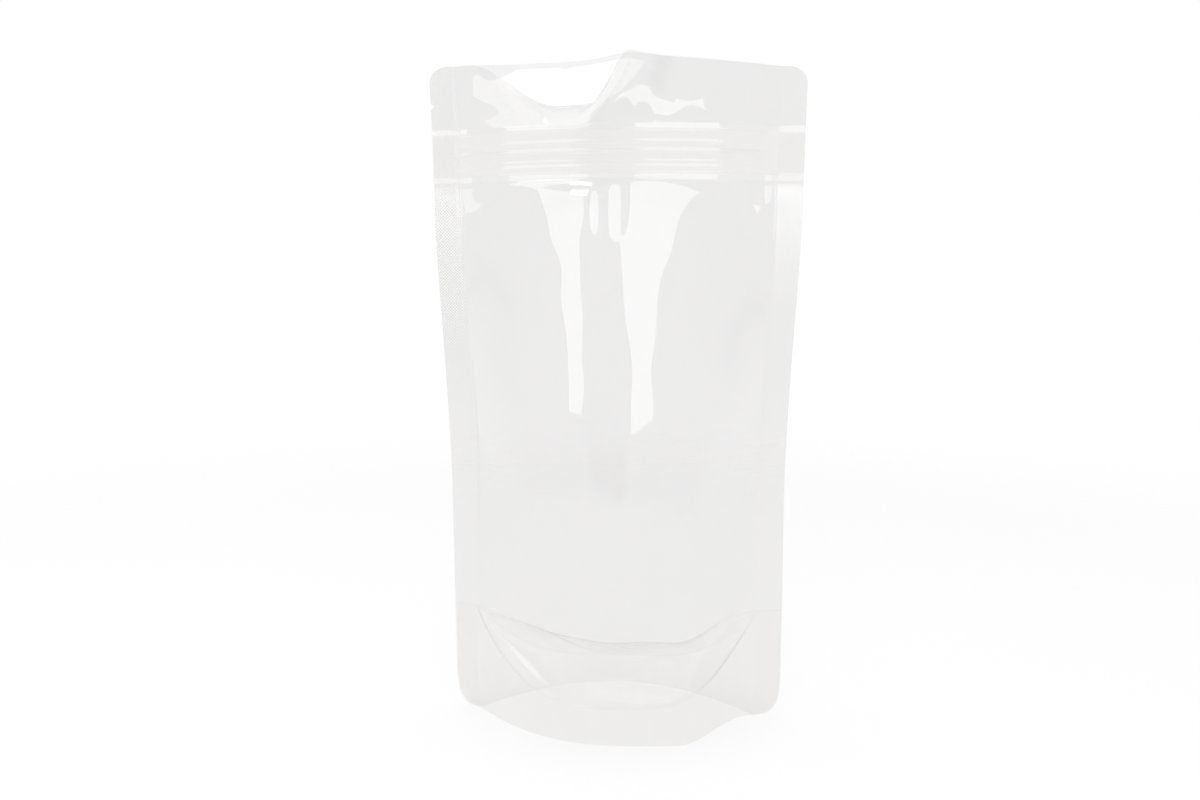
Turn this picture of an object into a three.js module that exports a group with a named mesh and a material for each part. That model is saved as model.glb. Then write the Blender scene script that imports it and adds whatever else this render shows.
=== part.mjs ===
// A clear stand-up pouch with a press-to-close zipper, standing open at its base.
// Millimetres, +Z up. X runs across the pouch, -Y is its front, and the floor is Z = 0.
//
// The pouch is three films welded at their edges: a front film, a back film and a bottom
// gusset folded between them. Two zipper strips, groove in front and tongue behind, are
// pressed together just under the mouth. Each film is a thin solid that follows a surface
// written in flat coordinates: x across the film as cut, v up it from the bottom edge.

import * as THREE from 'three';

const { clamp, lerp, smoothstep, degToRad } = THREE.MathUtils;

// The pouch as it is cut and welded
const POUCH_WIDTH = 130;
const POUCH_HEIGHT = 225;
const FILM = 0.13;
const WELD_GAP = 0.1; // clearance between films that lie on each other
const SIDE_SEAL = 9;
const CORNER_RADIUS = 6;
const GUSSET_FOLD = 38; // height of the gusset's fold above the bottom edge
const BOTTOM_SEAL = 11.5; // height of the bottom seal at its middle
const SEAL_CURVE = 3; // power of |u| by which the bottom seal climbs to the fold

// The tear notch in the left edge
const NOTCH_DROP = 13.5;
const NOTCH_DEPTH = 1.4;
const NOTCH_HALF = 1;

// The zipper
const ZIPPER_DROP = 30.5; // from the top edge to the middle of the zipper
const STRIP_HEIGHT = 13.5;
const STRIP_WALL = 0.2;
const TONGUE_STEM = 0.5;
const TONGUE_HEAD = 1.1;
const GROOVE_WALL = 0.5;
const GROOVE_LIP = 0.25;
const RIB_CLEARANCE = 0.15;
const ZIPPER_ROOM = 0.25; // from the middle surface to each strip inside the side seals
const ZIPPER_HALF_DEPTH = 0.7; // how far each film stands off the middle over the ribs
const ZIPPER_CRUSH = 5; // length over which the ribs are pressed flat at a side seal

// How deep each part of the two ribs reaches, as a share of the room between the strips
const NECK_SHARE = 0.45;
const HEAD_SHARE = 0.5;
const TIP_REACH_SHARE = 0.85;
const TIP_WIDTH_SHARE = 0.6; // width of the tongue's tip as a share of its stem
const HOOK_SHARE = 0.62;
const HOOK_LIP_SHARE = 0.7;
const HOOK_END_SHARE = 0.92;

// How the pouch stands
const BASE_SPREAD = 23.2; // of each film from the middle, above the bottom seal
const SPREAD_POWER = 1.6; // how long the films stay apart before they close to the zipper
const SKIRT_FLARE = 2.2; // of the welded skirt at the floor
const ARC_POWER = 2.2; // fullness of the front's left half at the floor
const RIGHT_FLATTEN = 0.25; // how much its right half falls off
const RIGHT_DRAW_FROM = 0.45; // share of the panel from which it draws in to the seal
const PLAIN_FROM = 20; // height from which the front turns into a plain arc
const PLAIN_FULL = 120;
const ARCH_SHARE = 0.46; // rise of the gusset's arch to the film it has to take up
const BOW = 9; // how far both films bow forwards from the side seals
const BOW_FROM = 5;
const BOW_FULL = 95;
const GATHER = 1.8; // width that small ripples take up on each side, towards the top
const GATHER_FROM = 40;
const GATHER_FULL = 150;
const VALLEY_DEPTH = 0.9; // of the long hollow down the middle of the front film
const VALLEY_HALF = 13;
const VALLEY_X = -3;
const VALLEY_FROM = 30;
const VALLEY_FULL = 110;
const LEFT_FIN_TURN = 24; // degrees, of the side seal at the floor
const RIGHT_FIN_TURN = 14;
const FIN_STRAIGHT_FROM = 150; // height at which the side seals run straight

// The mouth
const CROWN_LEFT = 0.4; // how far the top edge falls towards its left corner
const CROWN_RIGHT = 2.4;
const PEAK_X = 4.5; // where the crease of the front lip ends, at the top edge
const PEAK_RISE = 1.5; // how far the top edge stands up there
const PEAK_HALF = 10;
const TOP_FORWARD = 4.55; // how far the zipper and mouth lean forwards, up to the top edge
const CURL_SHARE = 0.29; // share of that which comes as a curve towards the edge
const MOUTH_BACK = 5.5; // how far the back film leans back behind the open lip
const MOUTH_X = -16;
const MOUTH_HALF = 40;
const RIM_STRAIGHT = 2.5; // height of the stiff rim above it
const LIP_DIP = 17;
const LIP_FORWARD = 9;
const LIP_FROM_EDGE = 4; // from the left seal to where the front lip leaves the back film
const LIP_RISE = 34;
const LIP_FALL = 11;
const LIP_POWER = 1.25; // how the lip's dip grows from the zipper to the top edge
const CREASE_SHIFT = 10.5; // how far the crease wanders left on its way to the zipper

// Facets
const COLUMN_STEP = 3.6;
const ROW_STEP = 12.5;
const CORNER_STEPS = 3;
const SKIRT_ROWS = 7;
const BASE_ROWS = 8;
const PROBE = 0.05; // distance of the neighbours from which a normal is worked out

const FRONT = -1;
const BACK = 1;
const PANEL_HALF = POUCH_WIDTH / 2 - SIDE_SEAL;
const ZIPPER_HEIGHT = POUCH_HEIGHT - ZIPPER_DROP;
const STRIP_LOW = ZIPPER_HEIGHT - STRIP_HEIGHT / 2;
const STRIP_HIGH = ZIPPER_HEIGHT + STRIP_HEIGHT / 2;
const STRIP_EASE = 1.6; // height over which a film closes in above and below the strips
const EASE_LEAD = 0.2; // share of that height by which it starts after the strip's edge
const GUSSET_EASE = 9; // and above the gusset's fold
const SPREAD_END = STRIP_LOW - 2 * STRIP_EASE;
const LAYER = FILM + WELD_GAP;

const clearFilm = new THREE.MeshStandardMaterial({
  color: 0xeef0f0, roughness: 0.08, metalness: 0, transparent: true, opacity: 0.3,
});
const gussetFilm = new THREE.MeshStandardMaterial({
  color: 0xebeeee, roughness: 0.1, metalness: 0, transparent: true, opacity: 0.3,
});
const zipperPlastic = new THREE.MeshStandardMaterial({
  color: 0xf2f3f1, roughness: 0.25, metalness: 0, transparent: true, opacity: 0.5,
});

// Straight distance from the middle to the edge of the cut film at height v.
function edgeAt(sign, v) {
  const fromEnd = Math.min(v, POUCH_HEIGHT - v);
  const missing = Math.max(CORNER_RADIUS - fromEnd, 0);
  const rounding = CORNER_RADIUS - Math.sqrt(Math.max(CORNER_RADIUS ** 2 - missing ** 2, 0));
  const notchHeight = POUCH_HEIGHT - NOTCH_DROP;
  const notch = NOTCH_DEPTH * Math.max(1 - Math.abs(v - notchHeight) / NOTCH_HALF, 0);
  return POUCH_WIDTH / 2 - rounding - (sign < 0 ? notch : 0);
}

// A column is -1 to 1 across the panel, and up to 1 more on either side across a side seal.
function flatX(column, v) {
  const sign = Math.sign(column);
  const across = Math.min(Math.abs(column), 1) * PANEL_HALF;
  const inSeal = Math.max(Math.abs(column) - 1, 0);
  return sign * (across + inSeal * (edgeAt(sign, v) - PANEL_HALF));
}

// How far each film stands from the middle at the centre line.
function spreadAt(v) {
  const share = clamp(v / SPREAD_END, 0, 1) ** SPREAD_POWER;
  const flare = SKIRT_FLARE * Math.max(1 - v / BOTTOM_SEAL, 0);
  return BASE_SPREAD * Math.cos(share * Math.PI / 2) + flare;
}

function bowAt(v) {
  return BOW * smoothstep(v, BOW_FROM, BOW_FULL);
}

// How far the whole pouch leans forwards from the zipper up.
function leanAt(v) {
  const share = Math.max(v - SPREAD_END, 0) / (POUCH_HEIGHT - SPREAD_END);
  return TOP_FORWARD * share * (1 + CURL_SHARE * (share - 1));
}

// How far the back film leans back behind the open lip.
function mouthBack(x, v) {
  const opened = clamp((v - STRIP_HIGH) / (POUCH_HEIGHT - RIM_STRAIGHT - STRIP_HIGH), 0, 1);
  const across = clamp((x - MOUTH_X) / MOUTH_HALF, -1, 1);
  return MOUTH_BACK * opened * Math.cos(across * Math.PI / 2) ** 2;
}

// The films keep their width, so the chord between the side seals shortens as they bulge.
function halfChordAt(v) {
  const bulge = spreadAt(v) ** 2 + bowAt(v) ** 2;
  const gathered = GATHER * smoothstep(v, GATHER_FROM, GATHER_FULL);
  return PANEL_HALF - 2 * bulge / (3 * PANEL_HALF) - gathered;
}

// The front film sinks in along its middle between the zipper and the base.
function valleyAt(x, v) {
  const across = clamp((x - VALLEY_X) / VALLEY_HALF, -1, 1);
  const along = smoothstep(v, VALLEY_FROM, VALLEY_FULL) * (1 - smoothstep(v, VALLEY_FULL, SPREAD_END));
  return VALLEY_DEPTH * along * Math.cos(across * Math.PI / 2) ** 2;
}

function finTurnAt(sign, v) {
  const atFloor = sign < 0 ? LEFT_FIN_TURN : RIGHT_FIN_TURN;
  return degToRad(atFloor) * (1 - smoothstep(v, 0, FIN_STRAIGHT_FROM));
}

// The outline of each film in plan. At the floor the front is a full arc on the left and
// draws in sharply before the right seal. Higher up both films are plain arcs.
function planShape(side, u, v) {
  const arc = 1 - u * u;
  if (side === BACK) return arc;
  const left = 1 - Math.abs(u) ** ARC_POWER;
  const right = (1 - RIGHT_FLATTEN * u * u) * (1 - smoothstep(u, RIGHT_DRAW_FROM, 1));
  return lerp(u < 0 ? left : right, arc, smoothstep(v, PLAIN_FROM, PLAIN_FULL));
}

// The films part round the zipper's ribs, and close in above, below and at the side seals.
function zipperPart(x, v) {
  const above = smoothstep(v, STRIP_LOW - ROW_STEP, STRIP_LOW - 2 * STRIP_EASE);
  const below = 1 - smoothstep(v, STRIP_HIGH + 2 * STRIP_EASE, STRIP_HIGH + ROW_STEP);
  const across = smoothstep(PANEL_HALF - Math.abs(x), 0, ZIPPER_CRUSH);
  return ZIPPER_HALF_DEPTH * above * below * across;
}

// 0 to 1 where the front lip is pulled away from the back film.
function lipShare(x, rise) {
  const crease = PEAK_X - CREASE_SHIFT * (1 - rise);
  const fromLeft = smoothstep(x + PANEL_HALF, LIP_FROM_EDGE, LIP_FROM_EDGE + LIP_RISE);
  return fromLeft * smoothstep(crease - x, 0, LIP_FALL);
}

// The surface between the films on one side of the pouch: both sides meet in the seals.
function surface(side, x, v) {
  const u = clamp(x / PANEL_HALF, -1, 1);
  const beyond = Math.max(Math.abs(x) - PANEL_HALF, 0);
  const turn = finTurnAt(Math.sign(x), v);
  const point = new THREE.Vector3(
    Math.sign(x) * (halfChordAt(v) * Math.abs(u) + beyond * Math.cos(turn)),
    side * (spreadAt(v) * planShape(side, u, v) + zipperPart(x, v)),
    v,
  );
  point.y += beyond * Math.sin(turn) - bowAt(v) * (1 - u * u);

  const rise = clamp((v - STRIP_HIGH - STRIP_EASE) / (POUCH_HEIGHT - STRIP_HIGH - STRIP_EASE), 0, 1);
  const fromPeak = (x - PEAK_X) / (POUCH_WIDTH / 2);
  const crown = fromPeak < 0 ? CROWN_LEFT : CROWN_RIGHT;
  const peak = Math.exp(-(((x - PEAK_X) / PEAK_HALF) ** 2));
  point.z -= rise * (crown * Math.abs(fromPeak) + PEAK_RISE * (1 - peak));
  point.y -= leanAt(v);
  if (side === BACK) {
    point.y += mouthBack(x, v);
  } else {
    const lip = lipShare(x, rise);
    point.z -= LIP_DIP * lip * rise ** LIP_POWER;
    point.y += valleyAt(x, v) - LIP_FORWARD * lip * rise;
  }
  return point;
}

// The unit normal that points out of the pouch.
function outward(side, x, v) {
  const across = surface(side, x + PROBE, v).sub(surface(side, x - PROBE, v));
  const up = surface(side, x, v + PROBE).sub(surface(side, x, v - PROBE));
  return across.cross(up).normalize().multiplyScalar(-side);
}

function offSurface(side, x, v, distance) {
  const point = surface(side, x, v).addScaledVector(outward(side, x, v), distance);
  if (v === 0) point.z = 0;
  return point;
}

// Distance from the surface to a film's inner face: it leaves room for the gusset's leaf at
// the bottom and for the strips at the zipper.
function filmOffset(v) {
  const gusset = 1 - smoothstep(v, GUSSET_FOLD + FILM, GUSSET_FOLD + GUSSET_EASE);
  const fromStrip = Math.max(STRIP_LOW - v, v - STRIP_HIGH, 0);
  const strip = 1 - clamp(fromStrip / STRIP_EASE - EASE_LEAD, 0, 1);
  return WELD_GAP / 2 + gusset * LAYER + strip * (ZIPPER_ROOM + STRIP_WALL + WELD_GAP / 2);
}

// The given places and as many between them as keep every step below the longest.
function stations(places, longest) {
  const sorted = [...new Set(places)].sort((a, b) => a - b);
  const all = [sorted[0]];
  for (let i = 1; i < sorted.length; i++) {
    const steps = Math.ceil((sorted[i] - sorted[i - 1]) / longest);
    for (let k = 1; k <= steps; k++) all.push(lerp(sorted[i - 1], sorted[i], k / steps));
  }
  return all;
}

function makeColumns() {
  const panel = stations([-PANEL_HALF, 0, PANEL_HALF], COLUMN_STEP).map((x) => x / PANEL_HALF);
  return [-2, -1.5, ...panel, 1.5, 2];
}

function filmRows() {
  const rows = [CORNER_RADIUS, BOTTOM_SEAL, GUSSET_FOLD, GUSSET_FOLD + GUSSET_EASE / 2];
  rows.push(GUSSET_FOLD + GUSSET_EASE, POUCH_HEIGHT - CORNER_RADIUS);
  for (let i = 0; i < CORNER_STEPS; i++) {
    const corner = CORNER_RADIUS * (1 - Math.cos(i / CORNER_STEPS * Math.PI / 2));
    rows.push(corner, POUCH_HEIGHT - corner);
  }
  for (const way of [-1, 0, 1]) rows.push(POUCH_HEIGHT - NOTCH_DROP + way * NOTCH_HALF);
  const easeFrom = EASE_LEAD * STRIP_EASE;
  rows.push(STRIP_LOW - easeFrom - STRIP_EASE, STRIP_LOW - easeFrom);
  rows.push(STRIP_HIGH + easeFrom, STRIP_HIGH + easeFrom + STRIP_EASE);
  return stations(rows, ROW_STEP);
}

// A closed solid between two grids of points, the first on the side that the grid's
// columns and rows turn anticlockwise about.
function solidBetween(top, under) {
  const rows = top.length;
  const columns = top[0].length;
  const points = [...top.flat(), ...under.flat()];
  const at = (layer, row, column) => layer * rows * columns + row * columns + column;
  const faces = [];
  const quad = (a, b, c, d) => faces.push(a, b, c, a, c, d);
  for (let r = 0; r + 1 < rows; r++) {
    for (let c = 0; c + 1 < columns; c++) {
      quad(at(0, r, c), at(0, r, c + 1), at(0, r + 1, c + 1), at(0, r + 1, c));
      faces.push(at(1, r, c), at(1, r + 1, c + 1), at(1, r, c + 1));
      faces.push(at(1, r, c), at(1, r + 1, c), at(1, r + 1, c + 1));
    }
  }
  for (let c = 0; c + 1 < columns; c++) {
    const last = rows - 1;
    quad(at(0, 0, c + 1), at(0, 0, c), at(1, 0, c), at(1, 0, c + 1));
    quad(at(0, last, c), at(0, last, c + 1), at(1, last, c + 1), at(1, last, c));
  }
  for (let r = 0; r + 1 < rows; r++) {
    const last = columns - 1;
    quad(at(0, r, 0), at(0, r + 1, 0), at(1, r + 1, 0), at(1, r, 0));
    quad(at(0, r + 1, last), at(0, r, last), at(1, r, last), at(1, r + 1, last));
  }
  return geometryFrom(points, faces);
}

function geometryFrom(points, faces) {
  const geometry = new THREE.BufferGeometry().setFromPoints(points);
  geometry.setIndex(faces);
  geometry.computeVertexNormals();
  return geometry;
}

function filmGeometry(side) {
  const columns = makeColumns();
  const grid = (extra) => filmRows().map((v) => columns.map(
    (column) => offSurface(side, flatX(column, v), v, filmOffset(v) + extra),
  ));
  const inner = grid(0);
  const outer = grid(FILM);
  return side === FRONT ? solidBetween(outer, inner) : solidBetween(inner, outer);
}

// Height to which the gusset is welded to a film: the whole leaf inside the side seals.
function sealHeight(x) {
  const u = Math.min(Math.abs(x) / PANEL_HALF, 1);
  const highest = GUSSET_FOLD - WELD_GAP;
  return lerp(BOTTOM_SEAL, highest, u ** SEAL_CURVE);
}

// One line of the gusset from the front bottom edge over the base to the back bottom edge.
// Between its two seals the film keeps its cut length, so it arches up where they draw near.
function gussetLine(column) {
  const lift = FILM / 2 + WELD_GAP / 2;
  const leaf = (side, share) => {
    const v = share * sealHeight(flatX(column, GUSSET_FOLD));
    return offSurface(side, flatX(column, v), v, lift);
  };
  const line = [];
  for (let i = 0; i <= SKIRT_ROWS; i++) line.push(leaf(FRONT, i / SKIRT_ROWS));
  const start = leaf(FRONT, 1);
  const end = leaf(BACK, 1);
  const span = start.distanceTo(end);
  const cut = Math.max(2 * (GUSSET_FOLD - sealHeight(flatX(column, GUSSET_FOLD))), span);
  const rise = Math.max(ARCH_SHARE * Math.sqrt(cut ** 2 - span ** 2), WELD_GAP);
  for (let i = 1; i < BASE_ROWS; i++) {
    const way = -Math.cos(i / BASE_ROWS * Math.PI);
    const point = start.clone().lerp(end, (1 + way) / 2);
    point.z += rise * (1 - Math.abs(way) ** 2);
    line.push(point);
  }
  for (let i = SKIRT_ROWS; i >= 0; i--) line.push(leaf(BACK, i / SKIRT_ROWS));
  return line;
}

// Moves every point of a grid along the grid's own normal.
function offGrid(grid, distance) {
  const last = grid.length - 1;
  const end = grid[0].length - 1;
  return grid.map((line, r) => line.map((point, c) => {
    const across = grid[r][Math.min(c + 1, end)].clone().sub(grid[r][Math.max(c - 1, 0)]);
    const before = point.clone().sub(grid[Math.max(r - 1, 0)][c]).normalize();
    const after = grid[Math.min(r + 1, last)][c].clone().sub(point).normalize();
    const normal = across.cross(before.add(after)).normalize();
    const moved = point.clone().addScaledVector(normal, distance);
    if (r === 0 || r === last) moved.z = 0;
    return moved;
  }));
}

function gussetGeometry() {
  const lines = makeColumns().map(gussetLine);
  const middle = lines[0].map((_, row) => lines.map((line) => line[row]));
  return solidBetween(offGrid(middle, FILM / 2), offGrid(middle, -FILM / 2));
}

// The strips' sections: height from the middle of the zipper, and distance in from the
// strip's wall as a share of the room between the two strips.
function tongueSection() {
  const stem = TONGUE_STEM / 2;
  const head = TONGUE_HEAD / 2;
  const tip = stem * TIP_WIDTH_SHARE;
  const half = [[tip, TIP_REACH_SHARE], [head, HEAD_SHARE], [stem, NECK_SHARE], [stem, 0]];
  return [...half.map(([height, depth]) => [-height, depth]).reverse(), ...half];
}

function grooveSection() {
  const inside = TONGUE_HEAD / 2 + RIB_CLEARANCE;
  const outside = inside + GROOVE_WALL;
  const lip = inside - GROOVE_LIP;
  const catching = [[inside, HOOK_SHARE], [lip, HOOK_LIP_SHARE], [inside, HOOK_END_SHARE]];
  const hook = [[inside, 0], ...catching, [outside, HOOK_END_SHARE], [outside, 0]];
  return [...hook.map(([height, depth]) => [-height, depth]).reverse(), ...hook];
}

// A strip follows its film at a constant clearance. Its ribs fill the room left between the
// strips, so they are pressed flat inside the side seals.
function stripGeometry(side, ribs) {
  const outerFace = ZIPPER_ROOM + STRIP_WALL;
  const ringAt = (column) => {
    const x = flatX(column, ZIPPER_HEIGHT);
    const room = surface(FRONT, x, ZIPPER_HEIGHT).distanceTo(surface(BACK, x, ZIPPER_HEIGHT));
    const depth = room + 2 * ZIPPER_ROOM;
    const profile = [[-STRIP_HEIGHT / 2, 0], ...ribs, [STRIP_HEIGHT / 2, 0]];
    const ring = profile.map(([height, share]) => offSurface(
      side, x, ZIPPER_HEIGHT + height, ZIPPER_ROOM - share * depth,
    ));
    ring.push(offSurface(side, x, STRIP_HIGH, outerFace), offSurface(side, x, STRIP_LOW, outerFace));
    return ring;
  };
  return sweptSolid(makeColumns().map(ringAt), side);
}

// A closed solid through rings of equally many points, with flat ends.
function sweptSolid(rings, side) {
  const count = rings[0].length;
  const faces = [];
  const add = (a, b, c) => (side === FRONT ? faces.push(a, b, c) : faces.push(a, c, b));
  for (let r = 0; r + 1 < rings.length; r++) {
    for (let i = 0; i < count; i++) {
      const next = (i + 1) % count;
      const [a, b] = [r * count + i, r * count + next];
      add(a, b, b + count);
      add(a, b + count, a + count);
    }
  }
  const across = new THREE.Vector3(0, 1, 0);
  for (const [ring, flip] of [[0, true], [rings.length - 1, false]]) {
    const outline = rings[ring].map((point) => new THREE.Vector2(point.dot(across), point.z));
    for (const [a, b, c] of THREE.ShapeUtils.triangulateShape(outline, [])) {
      const corners = [a, b, c].map((i) => ring * count + i);
      const turned = THREE.ShapeUtils.isClockWise([outline[a], outline[b], outline[c]]);
      if (turned === flip) faces.push(...corners);
      else faces.push(...corners.reverse());
    }
  }
  return geometryFrom(rings.flat(), faces);
}

function named(name, geometry, material) {
  const mesh = new THREE.Mesh(geometry, material);
  mesh.name = name;
  return mesh;
}

const pouch = new THREE.Group();
pouch.add(
  named('front_film', filmGeometry(FRONT), clearFilm),
  named('back_film', filmGeometry(BACK), clearFilm),
  named('gusset_film', gussetGeometry(), gussetFilm),
  named('zipper_groove_strip', stripGeometry(FRONT, grooveSection()), zipperPlastic),
  named('zipper_tongue_strip', stripGeometry(BACK, tongueSection()), zipperPlastic),
);

// The floor's origin lies under the middle of the pouch's whole depth.
const reach = new THREE.Box3().setFromObject(pouch);
const depthMiddle = (reach.min.y + reach.max.y) / 2;
for (const mesh of pouch.children) mesh.geometry.translate(0, -depthMiddle, 0);

export default pouch;
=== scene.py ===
import math

import bpy
import numpy as np
from mathutils import Matrix, Vector


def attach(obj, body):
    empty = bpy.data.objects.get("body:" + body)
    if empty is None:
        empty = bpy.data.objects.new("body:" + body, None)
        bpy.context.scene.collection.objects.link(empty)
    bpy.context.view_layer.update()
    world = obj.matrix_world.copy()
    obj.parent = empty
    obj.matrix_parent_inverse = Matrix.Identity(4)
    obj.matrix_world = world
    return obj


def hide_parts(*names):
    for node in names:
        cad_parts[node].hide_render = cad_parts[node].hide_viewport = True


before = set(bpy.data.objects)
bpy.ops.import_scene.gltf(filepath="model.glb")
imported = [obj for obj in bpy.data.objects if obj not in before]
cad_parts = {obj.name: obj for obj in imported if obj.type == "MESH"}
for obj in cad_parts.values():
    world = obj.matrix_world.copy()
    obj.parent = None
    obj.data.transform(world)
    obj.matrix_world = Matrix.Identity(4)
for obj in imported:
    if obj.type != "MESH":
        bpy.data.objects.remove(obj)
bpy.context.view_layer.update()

# Sizes in millimetres, as the films are cut and welded: x across a film, v up it
MM = 0.001
WIDTH = 130
HEIGHT = 225
FILM = 0.13
WELD_GAP = 0.1
SIDE_SEAL = 9
CORNER_RADIUS = 6
GUSSET_FOLD = 38
BOTTOM_SEAL = 11.5
SEAL_CURVE = 3
NOTCH_HEIGHT = HEIGHT - 13.5
NOTCH_DEPTH = 1.4
NOTCH_HALF = 1
PANEL = WIDTH / 2 - SIDE_SEAL

ZIPPER = HEIGHT - 30.5
STRIP_HEIGHT = 13.5
STRIP_WALL = 0.2
ZIPPER_ROOM = 0.25
ZIPPER_HALF_DEPTH = 0.7
ZIPPER_CRUSH = 5
STRIP_LOW = ZIPPER - STRIP_HEIGHT / 2
STRIP_HIGH = ZIPPER + STRIP_HEIGHT / 2
STRIP_EASE = 1.6
SPREAD_END = STRIP_LOW - 2 * STRIP_EASE
GUSSET_EASE = 9
PART_EASE = 12.5
LAYER = FILM + WELD_GAP

BASE_SPREAD = 23.2  # half the depth at the base
SPREAD_POWER = 1.6
SKIRT_FLARE = 2.2
BOW = 9  # how far both films curve forward at the middle
BOW_FROM = 5
BOW_FULL = 95
GATHER = 1.8  # how far the panel is drawn in on each side above the base
GATHER_FROM = 40
GATHER_FULL = 150
LEFT_FIN_TURN = 24  # degrees that a side seal turns back at the base
RIGHT_FIN_TURN = 14
FIN_STRAIGHT = 150  # height at which the seals lie flat
ARC_POWER = 2.2
RIGHT_FLATTEN = 0.25
RIGHT_DRAW_FROM = 0.45
PLAIN_FROM = 20  # the lopsided base turns into an even arc between these heights
PLAIN_FULL = 120
VALLEY_DEPTH = 0.9
VALLEY_X = -3
VALLEY_HALF = 13
VALLEY_FROM = 30
VALLEY_FULL = 110

TOP_FORWARD = 4.55
CURL_SHARE = 0.29
CROWN_LEFT = 0.4
CROWN_RIGHT = 2.4
PEAK_X = 4.5
PEAK_RISE = 1.5
PEAK_HALF = 10
LIP_DIP = 17
LIP_FORWARD = 9
LIP_FROM_EDGE = 4
LIP_RISE = 34
LIP_FALL = 11
LIP_POWER = 1.25
CREASE_SHIFT = 10.5
MOUTH_BACK = 5.5
MOUTH_X = -16
MOUTH_HALF = 40
RIM_STRAIGHT = 2.5
DEPTH_SHIFT = 1.776  # the pouch stands with its depth centred on the floor's origin
ARCH_SHARE = 0.46
CRISP_ANGLE = 50  # degrees: edges sharper than this are cut edges and aren't smoothed
FRONT = -1
BACK = 1


def ramp(value, low, high):
    """0 to 1 between low and high, easing in and out."""
    share = np.clip((value - low) / (high - low), 0, 1)
    return share * share * (3 - 2 * share)


def bump_at(value, middle, half):
    """A smooth hump, 1 at the middle and 0 beyond half a width on either side."""
    share = np.clip((value - middle) / half, -1, 1)
    return np.cos(share * np.pi / 2) ** 2


# The pouch's form

def edge_at(sign, v):
    """How far the film's cut edge is from the middle, with round corners and the left notch."""
    from_end = np.minimum(v, HEIGHT - v)
    missing = np.maximum(CORNER_RADIUS - from_end, 0)
    rounding = CORNER_RADIUS - np.sqrt(np.maximum(CORNER_RADIUS**2 - missing**2, 0))
    notch = NOTCH_DEPTH * np.maximum(1 - np.abs(v - NOTCH_HEIGHT) / NOTCH_HALF, 0)
    return WIDTH / 2 - rounding - np.where(sign < 0, notch, 0)


def flat_x(column, v):
    """A column runs from -1 to 1 across the panel, and 1 more on either side across a seal."""
    sign = np.sign(column)
    across = np.minimum(np.abs(column), 1) * PANEL
    in_seal = np.maximum(np.abs(column) - 1, 0)
    return sign * (across + in_seal * (edge_at(sign, v) - PANEL))


def spread_at(v):
    """How far each film stands from the middle plane at the panel's middle."""
    share = np.clip(v / SPREAD_END, 0, 1) ** SPREAD_POWER
    return BASE_SPREAD * np.cos(share * np.pi / 2) + SKIRT_FLARE * np.maximum(1 - v / BOTTOM_SEAL, 0)


def bow_at(v):
    """How far the whole body bends forward at the panel's middle."""
    return BOW * ramp(v, BOW_FROM, BOW_FULL)


def lean_at(v):
    """How far the zipper and the mouth lean forward."""
    share = np.maximum(v - SPREAD_END, 0) / (HEIGHT - SPREAD_END)
    return TOP_FORWARD * share * (1 + CURL_SHARE * (share - 1))


def lip_share(x, rise):
    """1 where the front film folds down into the open lip, and 0 right of the crease."""
    crease = PEAK_X - CREASE_SHIFT * (1 - rise)
    risen = ramp(x + PANEL, LIP_FROM_EDGE, LIP_FROM_EDGE + LIP_RISE)
    return risen * ramp(crease - x, 0, LIP_FALL)


def opened_at(v):
    """0 at the zipper and 1 near the rim, where the back film is pushed furthest back."""
    return np.clip((v - STRIP_HIGH) / (HEIGHT - RIM_STRAIGHT - STRIP_HIGH), 0, 1)


def film_surface(side, x, v):
    """The surface between the films: an array of points for arrays of x and v."""
    u = np.clip(x / PANEL, -1, 1)
    beyond = np.maximum(np.abs(x) - PANEL, 0)
    turn = np.radians(np.where(x < 0, LEFT_FIN_TURN, RIGHT_FIN_TURN)) * (1 - ramp(v, 0, FIN_STRAIGHT))
    gathered = GATHER * ramp(v, GATHER_FROM, GATHER_FULL)
    half_chord = PANEL - 2 * (spread_at(v) ** 2 + bow_at(v) ** 2) / (3 * PANEL) - gathered
    arc = 1 - u * u
    if side == FRONT:
        left = 1 - np.abs(u) ** ARC_POWER
        right = (1 - RIGHT_FLATTEN * u * u) * (1 - ramp(u, RIGHT_DRAW_FROM, 1))
        plain = ramp(v, PLAIN_FROM, PLAIN_FULL)
        arc = np.where(u < 0, left, right) * (1 - plain) + arc * plain
    part = ZIPPER_HALF_DEPTH * ramp(v, STRIP_LOW - PART_EASE, SPREAD_END)
    part = part * (1 - ramp(v, STRIP_HIGH + 2 * STRIP_EASE, STRIP_HIGH + PART_EASE))
    part = part * ramp(PANEL - np.abs(x), 0, ZIPPER_CRUSH)
    px = np.sign(x) * (half_chord * np.abs(u) + beyond * np.cos(turn))
    py = side * (spread_at(v) * arc + part) + beyond * np.sin(turn) - bow_at(v) * (1 - u * u)
    pz = v + 0 * x
    rise = np.clip((v - STRIP_HIGH - STRIP_EASE) / (HEIGHT - STRIP_HIGH - STRIP_EASE), 0, 1)
    from_peak = (x - PEAK_X) / (WIDTH / 2)
    crown = np.where(from_peak < 0, CROWN_LEFT, CROWN_RIGHT)
    peak = np.exp(-(((x - PEAK_X) / PEAK_HALF) ** 2))
    pz = pz - rise * (crown * np.abs(from_peak) + PEAK_RISE * (1 - peak))
    py = py - lean_at(v)
    if side == FRONT:
        lip = lip_share(x, rise)
        pz = pz - LIP_DIP * lip * rise**LIP_POWER
        along = ramp(v, VALLEY_FROM, VALLEY_FULL) * (1 - ramp(v, VALLEY_FULL, SPREAD_END))
        py = py + VALLEY_DEPTH * along * bump_at(x, VALLEY_X, VALLEY_HALF) - LIP_FORWARD * lip * rise
    else:
        py = py + MOUTH_BACK * opened_at(v) * bump_at(x, MOUTH_X, MOUTH_HALF)
    py = py + ripples(side, x, v) + DEPTH_SHIFT
    return np.stack(np.broadcast_arrays(px, py, pz), axis=-1)


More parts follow.
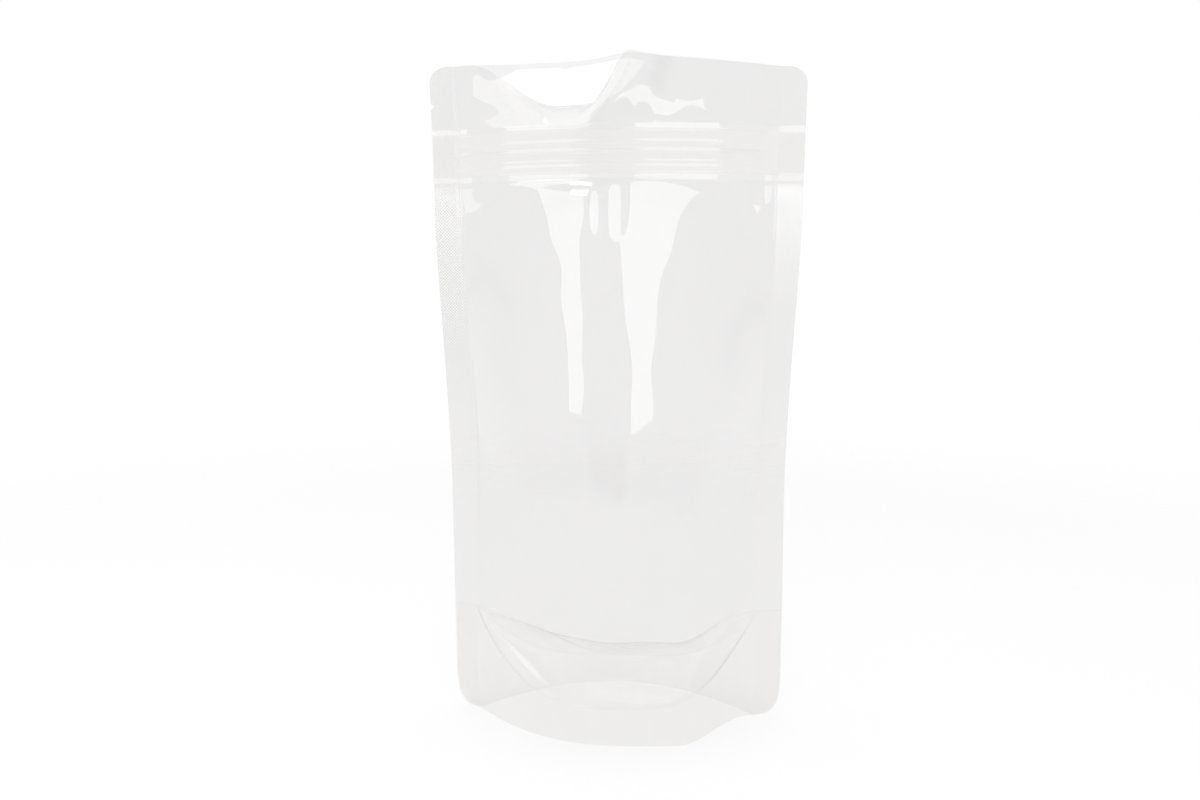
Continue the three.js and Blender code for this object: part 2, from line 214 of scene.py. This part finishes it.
def ripples(side, x, v):
    """The slack film's soft waves, in millimetres along Y. They die out at every weld."""
    clear = ramp(PANEL - np.abs(x), 0, 10) * ramp(v, 42, 60)
    body = clear * (1 - ramp(v, STRIP_LOW - 14, STRIP_LOW - 1))
    mouth = ramp(PANEL - np.abs(x), 0, 10) * ramp(v, STRIP_HIGH + 2, STRIP_HIGH + 9)
    if side == FRONT:
        # soft upright folds, finer ones above, a fine grain, and slanted folds low down
        waves = 0.2 * np.sin(x / 7.2 + 0.9 * np.sin(v / 31 + 0.4)) * ramp(v, 60, 150)
        waves = waves + 0.07 * np.sin(x / 2.6 - v / 55 + 1.1 * np.sin(v / 17)) * ramp(v, 100, 175)
        waves = waves + 0.035 * np.sin(x / 3.1 + v / 4.7) + 0.03 * np.sin(v / 3.3 - x / 6)
        waves = waves + 0.2 * np.sin((x + 0.35 * v) / 9) * (1 - ramp(v, 60, 120))
        # short pleats under the zipper, where the film is gathered in the middle
        gathered = bump_at(x, 1, 19)
        pleats = 0.24 * gathered * np.sin(x / 1.35 + 0.5 * np.sin(x / 5)) * ramp(v, 163, 178)
        # under the zipper the film is pushed in on the right and stands out on the left
        turned = 1.5 * bump_at(x, 36, 33) * ramp(v, 110, 160)
        full = -1.3 * bump_at(x, -18, 26) * ramp(v, 130, 170)
        # the sharp fold below the peak, a dent beside it, and the right half curling forward
        crease = PEAK_X - CREASE_SHIFT * (HEIGHT - v) / (HEIGHT - STRIP_HIGH)
        fold = 0.9 * np.exp(-np.abs(x - crease) / 2.6) * ramp(v, STRIP_HIGH - 3, HEIGHT - 6)
        dimple = 0.13 * (v - 211) * bump_at(x - 0.25 * (211 - v), 12.5, 6) * bump_at(v, 211, 10)
        waves = body * (waves + pleats) + mouth * 0.12 * np.sin(x / 4.1 + v / 9)
        waves = waves + clear * (turned + full) * (1 - ramp(v, STRIP_LOW - 8, STRIP_LOW - 1))
        nodding = -0.06 * np.maximum(v - 202, 0) * bump_at(x, 27, 16)
        return waves - fold + dimple + nodding - beads(x, v)
    waves = 0.3 * np.sin(x / 8.3 + 1.7 + 0.7 * np.sin(v / 27)) + 0.14 * np.sin(x / 4.4 + v / 33)
    # the open mouth draws the back film taut beside the bulge
    taut = 1.5 * opened_at(v) * bump_at(x, -38, 21)
    return body * waves + mouth * 0.06 * np.sin(x / 5 - v / 8) + taut


# Each raised line on the zipper: how far below its upper edge, how high, and half its width
BEADS = ((0.4, 0.08, 0.6), (4.0, 0.2, 0.9), (6.8, 0.22, 0.9), (9.4, -0.06, 0.6), (11.8, 0.2, 0.9))


def beads(x, v):
    """The front film is raised over the zipper's edges and its two ribs."""
    across = ramp(PANEL - np.abs(x), -1, 2)
    return across * sum(high * bump_at(v, STRIP_HIGH - drop, half) for drop, high, half in BEADS)


def outward(side, x, v):
    """The unit normal that points away from the pouch's inside."""
    probe = 0.05
    across = film_surface(side, x + probe, v) - film_surface(side, x - probe, v)
    up = film_surface(side, x, v + probe) - film_surface(side, x, v - probe)
    normal = -side * np.cross(across, up)
    return normal / np.linalg.norm(normal, axis=-1, keepdims=True)


def off_surface(side, x, v, distance):
    """Points off the surface by the distance. The bottom edge stays on the floor."""
    points = film_surface(side, x, v) + outward(side, x, v) * np.asarray(distance)[..., None]
    points[..., 2] = np.where(v <= 0, 0, points[..., 2])
    return points


def film_offset(v):
    """How far a film's inner face is from the surface, past the gusset and the zipper strip."""
    gusset = 1 - ramp(v, GUSSET_FOLD + FILM, GUSSET_FOLD + GUSSET_EASE)
    from_strip = np.maximum(np.maximum(STRIP_LOW - v, v - STRIP_HIGH), 0)
    strip = 1 - np.clip(from_strip / STRIP_EASE - 0.2, 0, 1)
    return WELD_GAP / 2 + gusset * LAYER + strip * (ZIPPER_ROOM + STRIP_WALL + WELD_GAP / 2)


def seal_height(x):
    """Height of the bottom seal's inner edge: low in the middle, up at the fold at the sides."""
    u = np.minimum(np.abs(x) / PANEL, 1)
    return BOTTOM_SEAL + (GUSSET_FOLD - WELD_GAP - BOTTOM_SEAL) * u**SEAL_CURVE


def spaced(places, longest):
    """The given places, and as many between them as keep every step below the longest."""
    places = sorted(set(places))
    out = [places[0]]
    for low, high in zip(places, places[1:]):
        steps = max(math.ceil((high - low) / longest), 1)
        out += [low + (high - low) * k / steps for k in range(1, steps + 1)]
    return np.array(out)


def panel_columns(longest):
    """Columns across a film, at most the longest step apart in millimetres."""
    panel = spaced([-PANEL, 0, PANEL], longest) / PANEL
    seal = np.linspace(1, 2, 6)[1:]
    return np.concatenate([-seal[::-1], panel, seal])


def film_rows():
    """Heights of a film's rows, with one at every seal, fold, strip edge and notch."""
    low = spaced([0, CORNER_RADIUS, BOTTOM_SEAL, GUSSET_FOLD, GUSSET_FOLD + GUSSET_EASE], 1.1)
    body = spaced([GUSSET_FOLD + GUSSET_EASE, STRIP_LOW - 3], 1.8)
    zipper = spaced([STRIP_LOW - 3, STRIP_LOW, STRIP_HIGH, STRIP_HIGH + 3], 0.2)
    notch = [NOTCH_HEIGHT - NOTCH_HALF, NOTCH_HEIGHT, NOTCH_HEIGHT + NOTCH_HALF]
    top = spaced([STRIP_HIGH + 3, *notch, HEIGHT - CORNER_RADIUS], 1.1)
    corner = HEIGHT - CORNER_RADIUS * (1 - np.sin(np.linspace(0, np.pi / 2, 10)))
    foot = CORNER_RADIUS * (1 - np.cos(np.linspace(0, np.pi / 2, 8)))
    low = np.concatenate([foot, low[low > CORNER_RADIUS]])
    return np.concatenate([low, body[1:], zipper[1:], top[1:], corner[1:]])


# Meshes

def solid_sheet(name, top, under, cut):
    """A closed thin sheet between two grids of points in millimetres. Its cut attribute holds
    where each point lay on the film before it was welded."""
    rows, columns = top.shape[:2]
    layer = rows * columns
    index = np.arange(layer).reshape(rows, columns)
    a, b = index[:-1, :-1].ravel(), index[:-1, 1:].ravel()
    c, d = index[1:, 1:].ravel(), index[1:, :-1].ravel()
    faces = np.concatenate([np.stack([a, b, c, d], 1), np.stack([a, d, c, b], 1) + layer])
    rim = np.concatenate([index[0, ::-1], index[1:, 0], index[-1, 1:], index[-2:0:-1, -1]])
    after = np.roll(rim, -1)
    walls = np.stack([rim, after, after + layer, rim + layer], 1)
    faces = np.concatenate([faces, walls])
    points = np.concatenate([top.reshape(-1, 3), under.reshape(-1, 3)]) * MM
    mesh = bpy.data.meshes.new(name)
    mesh.from_pydata(points.tolist(), [], faces.tolist())
    where = mesh.attributes.new("cut", "FLOAT_VECTOR", "POINT")
    flat = np.concatenate([layer_cut.reshape(-1, 3) for layer_cut in cut]) * (MM, MM, 1)
    where.data.foreach_set("vector", flat.ravel())
    return finish_mesh(name, mesh)


def finish_mesh(name, mesh):
    """An object with the mesh, smooth but for its cut edges."""
    mesh.validate()
    mesh.polygons.foreach_set("use_smooth", [True] * len(mesh.polygons))
    piece = bpy.data.objects.new(name, mesh)
    bpy.context.scene.collection.objects.link(piece)
    bpy.ops.object.select_all(action="DESELECT")
    bpy.context.view_layer.objects.active = piece
    piece.select_set(True)
    bpy.ops.object.shade_smooth_by_angle(angle=math.radians(CRISP_ANGLE))
    piece.select_set(False)
    return piece


def make_film(name, side):
    """The front or back film. Its cut attribute is 0 on the outer face and 1 on the inner."""
    rows, columns = np.meshgrid(film_rows(), panel_columns(0.95), indexing="ij")
    x = flat_x(columns, rows)
    inner = off_surface(side, x, rows, film_offset(rows))
    outer = off_surface(side, x, rows, film_offset(rows) + FILM)
    outside = np.stack([x, rows, 0 * x], axis=-1)
    inside = np.stack([x, rows, 0 * x + 1], axis=-1)
    if side == FRONT:
        return solid_sheet(name, outer, inner, [outside, inside])
    return solid_sheet(name, inner, outer, [inside, outside])


def gusset_grid(columns):
    """Lines from the front bottom edge over the base to the back bottom edge: their points,
    and where each point lay on the film. The cut length is the film between the two seals."""
    skirt, base = 26, 30
    lift = FILM / 2 + WELD_GAP / 2
    fold_x = flat_x(columns, np.full_like(columns, GUSSET_FOLD))
    top = seal_height(fold_x)

    def leaf(side, share):
        v = share * top
        return off_surface(side, flat_x(columns, v), v, np.full_like(v, lift))

    start, end = leaf(FRONT, 1), leaf(BACK, 1)
    span = np.linalg.norm(end - start, axis=1)
    cut_length = np.maximum(2 * (GUSSET_FOLD - top), span)
    rise = np.maximum(ARCH_SHARE * np.sqrt(cut_length**2 - span**2), WELD_GAP)
    lines, cut = [], []
    for i in range(skirt + 1):
        lines.append(leaf(FRONT, i / skirt))
        cut.append(np.stack([fold_x, top * i / skirt, 0 * top], 1))
    for i in range(1, base):
        way = -math.cos(i / base * math.pi)
        line = start + (end - start) * (1 + way) / 2
        line[:, 2] += rise * (1 - way * way)
        u = fold_x / PANEL
        loose = (1 - way * way) * ramp(1 - np.abs(u), 0, 0.3)
        line[:, 2] += loose * (0.7 * np.sin(5.5 * way + 7 * u) + 0.5 * np.sin(9 * u - 2.3 * way))
        lines.append(line)
        cut.append(np.stack([fold_x, top + (GUSSET_FOLD - top) * (1 + way), 0 * top + 1], 1))
    for i in range(skirt, -1, -1):
        lines.append(leaf(BACK, i / skirt))
        cut.append(np.stack([fold_x, top * i / skirt, 0 * top + 2], 1))
    return np.array(lines), np.array(cut)


def off_grid(grid, distance):
    """The grid's points moved along its normals. Its two bottom edges stay on the floor."""
    across = np.gradient(grid, axis=1)
    step = np.diff(grid, axis=0)
    step = step / np.linalg.norm(step, axis=-1, keepdims=True)
    along = np.concatenate([step[:1], step[1:] + step[:-1], step[-1:]])
    normal = np.cross(across, along)
    normal = normal / np.linalg.norm(normal, axis=-1, keepdims=True)
    moved = grid + normal * distance
    moved[0, :, 2] = 0
    moved[-1, :, 2] = 0
    return moved


def make_gusset():
    """The gusset film, whose cut attribute is 0 at the front, 1 in the base and 2 at the back."""
    grid, cut = gusset_grid(panel_columns(1.2))
    return solid_sheet("bottom_gusset", off_grid(grid, FILM / 2), off_grid(grid, -FILM / 2), [cut, cut])


def make_strip(name, side, ribs):
    """A zipper strip: its section runs in rings along the zipper."""
    columns = panel_columns(1.3)
    x = flat_x(columns, np.full_like(columns, ZIPPER))
    middle = np.full_like(x, ZIPPER)
    room = np.linalg.norm(film_surface(FRONT, x, middle) - film_surface(BACK, x, middle), axis=1)
    depth = room + 2 * ZIPPER_ROOM
    rings = []
    inside = [(-STRIP_HEIGHT / 2, 0)] + ribs + [(STRIP_HEIGHT / 2, 0)]
    for height, share in inside:
        rings.append(off_surface(side, x, middle + height, ZIPPER_ROOM - share * depth))
    outer_face = np.full_like(x, ZIPPER_ROOM + STRIP_WALL)
    outside = np.linspace(STRIP_HEIGHT / 2, -STRIP_HEIGHT / 2, 12)
    rings += [off_surface(side, x, middle + height, outer_face) for height in outside]
    heights = [height for height, _ in inside] + list(outside)
    cut = [np.stack([x, middle + height, 0 * x], 1) for height in heights]
    grid = np.array(rings)
    count, length = grid.shape[:2]
    index = np.arange(count * length).reshape(count, length)
    after = np.roll(index, -1, axis=0)
    faces = np.stack([index[:, :-1], index[:, 1:], after[:, 1:], after[:, :-1]], -1).reshape(-1, 4)
    if side == BACK:
        faces = faces[:, ::-1]
    mesh = bpy.data.meshes.new(name)
    ends = [index[::-1, 0].tolist(), index[:, -1].tolist()]
    if side == BACK:
        ends = [end[::-1] for end in ends]
    mesh.from_pydata((grid.reshape(-1, 3) * MM).tolist(), [], faces.tolist() + ends)
    where = mesh.attributes.new("cut", "FLOAT_VECTOR", "POINT")
    where.data.foreach_set("vector", (np.array(cut) * (MM, MM, 1)).ravel())
    return finish_mesh(name, mesh)


# Shader maths

class Wire:
    """A socket, or a plain number, that takes part in arithmetic."""

    def __init__(self, nodes, value):
        self.nodes = nodes
        self.value = value

    def maths(self, operation, *others):
        values = [self.value] + [o.value if isinstance(o, Wire) else o for o in others]
        return self.nodes.add("ShaderNodeMath", {"operation": operation}, dict(enumerate(values)))

    def __add__(self, other):
        return self.maths("ADD", other)

    def __radd__(self, other):
        return self.maths("ADD", other)

    def __sub__(self, other):
        return self.maths("SUBTRACT", other)

    def __rsub__(self, other):
        return Wire(self.nodes, other).maths("SUBTRACT", self)

    def __mul__(self, other):
        return self.maths("MULTIPLY", other)

    def __rmul__(self, other):
        return self.maths("MULTIPLY", other)

    def __pow__(self, other):
        return self.maths("POWER", other)

    def __abs__(self):
        return self.maths("ABSOLUTE")

    def sine(self):
        return self.maths("SINE")

    def least(self, other):
        return self.maths("MINIMUM", other)

    def most(self, other):
        return self.maths("MAXIMUM", other)

    def between(self, low, high):
        """0 to 1 as the value goes from low to high, easing in and out."""
        return self.nodes.add(
            "ShaderNodeMapRange", {"interpolation_type": "SMOOTHSTEP", "clamp": True},
            {"Value": self, "From Min": low, "From Max": high, "To Min": 0.0, "To Max": 1.0},
        )

    def hump(self, flat, ease):
        """1 within the flat distance of 0 on either side, and 0 beyond the ease."""
        return 1 - abs(self).between(flat, flat + ease)


class Nodes:
    """Adds nodes to one material or world."""

    def __init__(self, tree):
        self.tree = tree
        tree.nodes.clear()

    def add(self, kind, settings, inputs, output=0):
        """Adds a node with its settings and its sockets' values or links. It gives back one
        output, a list of them for a tuple of names, or nothing for None."""
        node = self.tree.nodes.new(kind)
        for name, value in settings.items():
            setattr(node, name, value)
        for name, value in inputs.items():
            socket = node.inputs[name]
            if isinstance(value, Wire):
                value = value.value
            if isinstance(value, bpy.types.NodeSocket):
                self.tree.links.new(value, socket)
            else:
                socket.default_value = value
        if output is None:
            return None
        if isinstance(output, tuple):
            return [Wire(self, node.outputs[name]) for name in output]
        return Wire(self, node.outputs[output])

    def split(self, vector):
        return self.add("ShaderNodeSeparateXYZ", {}, {0: vector}, ("X", "Y", "Z"))

    def noise(self, vector, scale, detail):
        inputs = {"Vector": vector, "Scale": scale, "Detail": detail}
        return self.add("ShaderNodeTexNoise", {}, inputs, "Fac")

    def blend(self, share, first, second):
        return self.add("ShaderNodeMixShader", {}, {0: share, 1: first, 2: second})

    def clear(self, colour):
        return self.add("ShaderNodeBsdfTransparent", {}, {"Color": colour})

    def finish(self, kind, shader):
        self.add(kind, {}, {"Surface": shader}, None)


def new_material(name):
    material = bpy.data.materials.new(name)
    material.use_nodes = True
    return material, Nodes(material.node_tree)


# Raised lines and grain in the film's surface, in millimetres
SLACK_WAVE = 0.05
GRAIN_PITCH = 1.05
GRAIN_DEPTH = 0.05
WELD_RIDGE = 0.22
SIDE_RIDGE = 0.08
FLANGE_RIDGE = 0.05
CRUMPLE = 0.12
FOLD_RIDGE = 0.2
STRIP_LINE = 0.02
FUSED = 0.95  # how far a face that is welded to another loses its own mirror


def seal_edge(x):
    """Height of the bottom seal's inner edge, above the bottom edge."""
    u = (abs(x) * (1 / (PANEL * MM))).least(1)
    return (u**SEAL_CURVE * (GUSSET_FOLD - BOTTOM_SEAL) + BOTTOM_SEAL) * MM


def clear_plastic(name, mirror, pass_colour, surface):
    """Clear glossy plastic: it lets most light through and mirrors the rest. The surface
    function gives its raised height, its milkiness, its grain and how much of it is fused."""
    material, nodes = new_material(name)
    cut = nodes.add("ShaderNodeAttribute", {"attribute_name": "cut"}, {}, "Vector")
    x, v, part = nodes.split(cut)
    height, milk, grain, fused = surface(nodes, cut, x, v, part)
    bump = nodes.add("ShaderNodeBump", {}, {"Strength": 1.0, "Distance": 1.0, "Height": height})
    facing = nodes.add("ShaderNodeLayerWeight", {}, {"Blend": 0.5, "Normal": bump}, "Facing")
    share = (facing**5 * (1 - mirror) + mirror) * (1 - fused) + milk
    rough = nodes.noise(cut, 60, 2) * 0.04 + 0.012 + grain * 0.14
    shine = nodes.add(
        "ShaderNodeBsdfPrincipled", {},
        {
            "Base Color": (0.96, 0.962, 0.96, 1),
            "Metallic": 1 - (milk * 9).least(0.9),
            "Roughness": rough,
            "Normal": bump,
        },
    )
    both = nodes.blend(share.least(1), nodes.clear(pass_colour), shine)
    nodes.finish("ShaderNodeOutputMaterial", both)
    return material


def film_surface_detail(nodes, cut, x, v, part):
    """Pressed grain in the side seals, the weld's edges, and faint waves and haze."""
    in_seal = abs(x).between(PANEL * MM, (PANEL + 0.3) * MM)
    pitch = 2 * math.pi / (GRAIN_PITCH * MM)
    cross = ((x + v) * pitch).sine() * 0.5 + ((x - v) * pitch).sine() * 0.5
    pressed = nodes.noise(cut, 26, 2).between(0.36, 0.6)
    fade = 0.25 + v.between(0.09, 0.16) * 0.75
    uneven = 1 - x.between(-PANEL * MM, PANEL * MM) * 0.6
    grain = in_seal * (cross * 0.5 + 0.5) * (pressed * 0.7 + 0.3) * fade * uneven
    seal_line = seal_edge(x)
    inside = 1 - abs(x).between((PANEL - 1) * MM, PANEL * MM)
    weld = (v - seal_line).hump(0, 0.75 * MM) * inside
    side_weld = (abs(x) - PANEL * MM).hump(0, 0.5 * MM)
    flange = (v - STRIP_HIGH * MM).hump(0, 0.35 * MM) + (v - STRIP_LOW * MM).hump(0, 0.35 * MM)
    height = nodes.noise(cut, 95, 1) * (SLACK_WAVE * MM) + grain * (GRAIN_DEPTH * MM)
    height = height + weld * (WELD_RIDGE * MM) + side_weld * (SIDE_RIDGE * MM)
    height = height + flange * (FLANGE_RIDGE * MM)
    haze = nodes.noise(cut, 38, 3).between(0.5, 0.8) * 0.01
    milk = haze + grain * 0.085 + in_seal * 0.005 + weld * 0.02 + flange * 0.02
    in_bottom = 1 - (v - seal_line).between(-0.3 * MM, 0.3 * MM)
    in_zipper = (v - ZIPPER * MM).hump(STRIP_HEIGHT / 2 * MM, 0.4 * MM)
    fused = part * in_seal.most(in_bottom).most(in_zipper) * FUSED
    return height, milk, grain, fused


def gusset_surface_detail(nodes, cut, x, v, part):
    """The gusset is fused to the walls below its seal and free across the base."""
    free = (part - 1).hump(0, 1)
    fold = (v - GUSSET_FOLD * MM).hump(0, 0.9 * MM) * free
    height = nodes.noise(cut, 70, 3) * (CRUMPLE * MM) + fold * (FOLD_RIDGE * MM)
    milk = nodes.noise(cut, 33, 3).between(0.45, 0.75) * 0.012 + fold * 0.03
    return height, milk, free * 0, FUSED - free * 0.5


def strip_surface_detail(nodes, cut, x, v, part):
    """Fine lines along the extruded strip."""
    lines = (v * (2 * math.pi / (0.8 * MM))).sine() * 0.5 + 0.5
    wear = nodes.noise(cut, 45, 2).between(0.4, 0.7)
    return lines * (STRIP_LINE * MM), lines * wear * 0.006, lines * 0, part * 0


# The pieces

TONGUE = [(0.25, 0), (0.25, 0.45), (0.55, 0.5), (0.15, 0.85)]
GROOVE = [(0.7, 0), (0.7, 0.62), (0.45, 0.7), (0.7, 0.92), (1.2, 0.92), (1.2, 0)]


def both_halves(half, outside_first):
    """A rib's section, from half of it: its points' heights and their shares of the depth."""
    mirrored = [(-height, share) for height, share in half]
    if outside_first:
        return mirrored + half[::-1]
    return mirrored[::-1] + half


front = make_film("front_panel", FRONT)
back = make_film("back_panel", BACK)
gusset = make_gusset()
groove = make_strip("zipper_groove", FRONT, both_halves(GROOVE, False))
tongue = make_strip("zipper_tongue", BACK, both_halves(TONGUE, True))

film = clear_plastic("clear film", 0.046, (0.9705, 0.968, 0.9673, 1), film_surface_detail)
fold = clear_plastic("folded clear film", 0.022, (0.998, 0.9978, 0.9945, 1), gusset_surface_detail)
strip = clear_plastic("zipper plastic", 0.003, (1, 1, 0.999, 1), strip_surface_detail)

for piece, node, slot, material in (
    (front, "front_film", "clear_film", film),
    (back, "back_film", "clear_film", film),
    (gusset, "gusset_film", "gusset_film", fold),
    (groove, "zipper_groove_strip", "zipper_plastic", strip),
    (tongue, "zipper_tongue_strip", "zipper_plastic", strip),
):
    piece.data.materials.append(material)
    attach(piece, "root")
    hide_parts(node)


# Studio

WHITE = (1, 1, 1, 1)
ROOM_DIM = 0.70  # the room's brightness as the film mirrors it, where white is 1
PATCH_DARK = 0.3
FLOOR_WHITE = 0.3
FLOOR_GLOW = 0.657  # with the lamps' light the floor is as white as the room behind
MIRRORED_GLOW = 0.5
# how far the floor's glow is lowered around the pouch's middle: a painted shadow
PAINTED_FLOOR_SHADOW = 0.03
AIM = Vector((0, 0, 0.13))  # the softboxes face the pouch's middle


def seen_and_mirrored(nodes):
    """1 where the camera looks, straight or through clear plastic, and 1 where gloss mirrors."""
    names = ("Is Camera Ray", "Is Transmission Ray", "Is Glossy Ray")
    straight, through, mirrored = nodes.add("ShaderNodeLightPath", {}, {}, names)
    return straight.most(through), mirrored


def light_world():
    """White behind the pouch, and a dimmer room with a dark patch on the camera's side."""
    world = bpy.data.worlds.new("studio")
    bpy.context.scene.world = world
    world.use_nodes = True
    nodes = Nodes(world.node_tree)
    direction = nodes.add("ShaderNodeTexCoord", {}, {}, "Generated")
    across, ahead, up = nodes.split(direction)
    seen = seen_and_mirrored(nodes)[0]
    room = ROOM_DIM + (1 - ROOM_DIM) * ahead.between(-0.35, 0.25)
    behind = 1 - ahead.between(-0.6, -0.3)
    patch = (across + 0.13).hump(0, 0.17) * behind * (1 - up.between(0.0, 0.25))
    strength = seen.most(room - patch * PATCH_DARK)
    glow = nodes.add("ShaderNodeBackground", {}, {"Color": WHITE, "Strength": strength})
    nodes.finish("ShaderNodeOutputWorld", glow)


def lay_floor():
    """A white floor that keeps the pouch's shadow, with a painted shadow around the pouch's middle, and
    runs out softly into the white room.
    """
    bpy.ops.object.select_all(action="DESELECT")
    bpy.ops.mesh.primitive_plane_add(size=1.6, location=(0, 0, 0))
    floor = bpy.context.object
    floor.name = "floor"
    material, nodes = new_material("white floor")
    seen, mirrored = seen_and_mirrored(nodes)
    place = nodes.add("ShaderNodeTexCoord", {}, {}, "Object")
    distance = nodes.add("ShaderNodeVectorMath", {"operation": "LENGTH"}, {0: place}, "Value")
    # the glow is lower within a few centimetres of the pouch's middle: a painted shadow, added to the
    # real one
    glow = FLOOR_GLOW - distance.hump(0.02, 0.04) * PAINTED_FLOOR_SHADOW
    sheet = nodes.add(
        "ShaderNodeBsdfPrincipled", {},
        {
            "Base Color": (FLOOR_WHITE, FLOOR_WHITE, FLOOR_WHITE, 1),
            "Roughness": 0.9,
            "Specular IOR Level": 0.0,
            "Emission Color": seen * glow + mirrored * MIRRORED_GLOW,
            "Emission Strength": 1.0,
        },
    )
    both = nodes.blend(distance.between(0.3, 0.75), sheet, nodes.clear(WHITE))
    nodes.finish("ShaderNodeOutputMaterial", both)
    floor.data.materials.append(material)


def hang_softbox(name, azimuth, elevation, distance, size, radiance):
    """A softbox that faces the pouch. Azimuth 0 is straight in front of it, and the radiance
    is its brightness, where white is 1."""
    a, e = math.radians(azimuth), math.radians(elevation)
    to_box = Vector((math.sin(a) * math.cos(e), -math.cos(a) * math.cos(e), math.sin(e)))
    lamp = bpy.data.lights.new(name, "AREA")
    lamp.shape = "RECTANGLE"
    lamp.size, lamp.size_y = size
    lamp.energy = radiance * math.pi * size[0] * size[1]
    holder = bpy.data.objects.new(name, lamp)
    bpy.context.scene.collection.objects.link(holder)
    holder.location = AIM + to_box * distance
    holder.rotation_euler = (-to_box).to_track_quat("-Z", "Y").to_euler()


def set_camera(azimuth, pitch, distance, height, side):
    """The camera stands at the distance and height, steps aside, and looks down by the pitch."""
    a, e = math.radians(azimuth), math.radians(pitch)
    right = Vector((math.cos(a), math.sin(a), 0))
    ahead = Vector((-math.sin(a), math.cos(a), 0))
    up = Vector((0, 0, 1))
    look = ahead * math.cos(e) - up * math.sin(e)
    top = ahead * math.sin(e) + up * math.cos(e)
    camera = bpy.data.cameras.new("camera")
    camera.lens = 27
    camera.sensor_width = 36
    camera.clip_start = 0.01
    holder = bpy.data.objects.new("camera", camera)
    bpy.context.scene.collection.objects.link(holder)
    place = -ahead * distance + right * side + up * height
    turn = Matrix((right, top, -look)).transposed().to_4x4()
    holder.matrix_world = Matrix.Translation(place) @ turn
    bpy.context.scene.camera = holder


light_world()
lay_floor()
hang_softbox("right window", 18, 27, 0.9, (0.38, 0.68), 1.25)
hang_softbox("left window", -27, 27, 0.9, (0.36, 0.66), 1.25)
hang_softbox("side softbox", -82, 34, 1.0, (0.4, 0.4), 1.2)
hang_softbox("top softbox", 0, 80, 1.2, (1.0, 0.8), 1.2)
hang_softbox("small bright lamp", -14, 47, 0.9, (0.16, 0.16), 5.0)
set_camera(azimuth=3.778, pitch=6.073, distance=0.30735, height=0.14491, side=-0.00542)

scene = bpy.context.scene
scene.view_settings.view_transform = "Standard"
scene.cycles.transparent_max_bounces = 40
